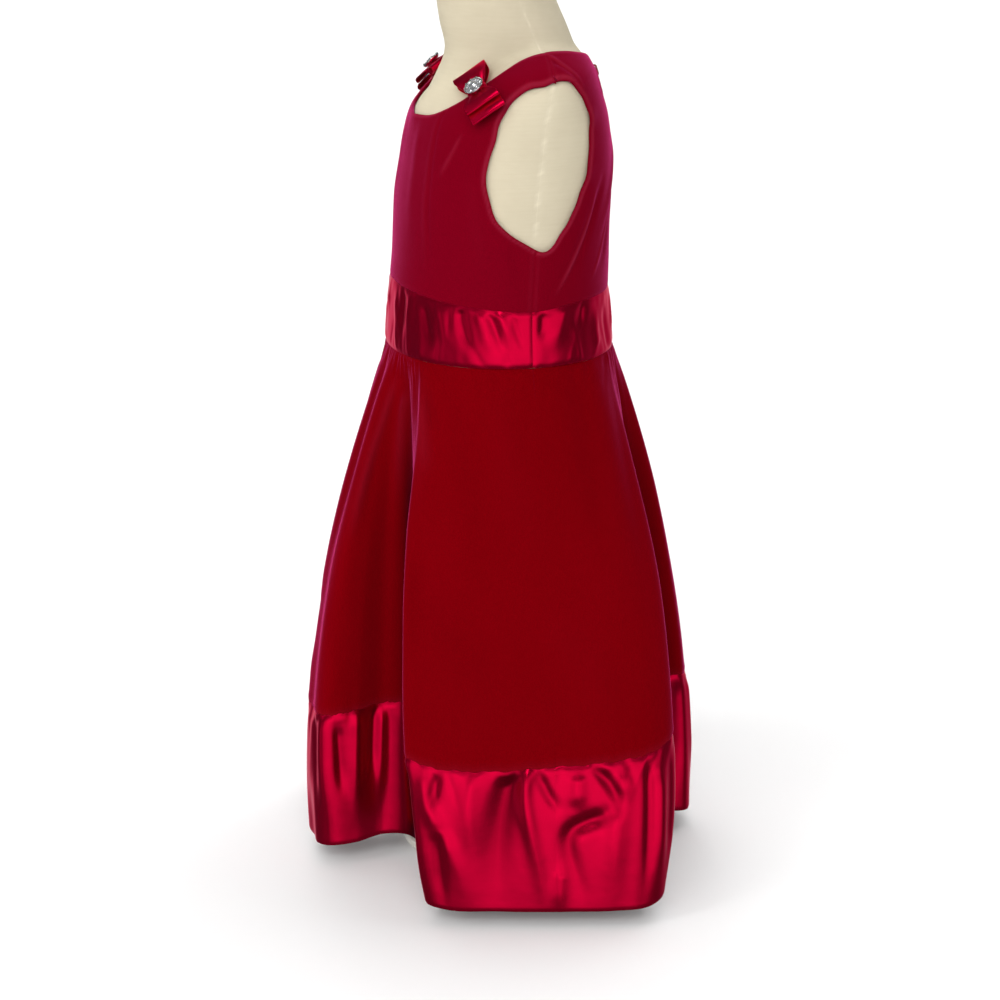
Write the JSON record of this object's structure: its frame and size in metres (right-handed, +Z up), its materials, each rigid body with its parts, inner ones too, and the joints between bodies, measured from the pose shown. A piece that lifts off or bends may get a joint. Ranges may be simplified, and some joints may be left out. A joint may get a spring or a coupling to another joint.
{
  "type": "toddler party dress on a dress form",
  "caption": "Sleeveless velvet dress with a satin sash, deep inverted pleats, a satin hem band and shoulder bows, worn on a table-top dress form.",
  "frame": {"origin": "on the ground, at the middle of the underside of the form's foot", "axes": "+Z up, -Y towards the front of the dress, +X towards the wearer's left"},
  "size_m": [0.3886, 0.3042, 0.672],
  "materials": {
    "velvet": "crimson velvet with a short pile",
    "satin": "crimson satin",
    "linen": "cream linen",
    "enamel": "semi-gloss cream enamel",
    "silver": "polished",
    "crystal": "clear cut",
    "zip_enamel": "red enamel"
  },
  "bodies": {
    "dress": {"form_torso": "linen", "form_pole": "enamel", "form_foot": "enamel", "bodice_front": "velvet", "bodice_back_left": "velvet", "bodice_back_right": "velvet", "sash_front": "satin", "sash_back_left": "satin", "sash_back_right": "satin", "skirt_front": "velvet", "skirt_back_left": "velvet", "skirt_back_right": "velvet", "hem_band_front": "satin", "hem_band_back_left": "satin", "hem_band_back_right": "satin", "zip_slider": "zip_enamel", "bow_loop_neck_left": "satin", "bow_loop_arm_left": "satin", "bow_loop_arm_over_left": "satin", "bow_knot_left": "satin", "jewel_setting_left": "silver", "jewel_stone_left": "crystal", "bow_loop_neck_right": "satin", "bow_loop_arm_right": "satin", "bow_loop_arm_over_right": "satin", "bow_knot_right": "satin", "jewel_setting_right": "silver", "jewel_stone_right": "crystal"},
    "pull": {"zip_pull": "zip_enamel"}
  },
  "joints": [
    {"name": "pull_hinge", "type": "hinge", "parent": "dress", "child": "pull", "pos_m": [0, 0.0722, 0.59916], "axis": [1, 0, 0], "range_deg": [0, 120]}
  ]
}
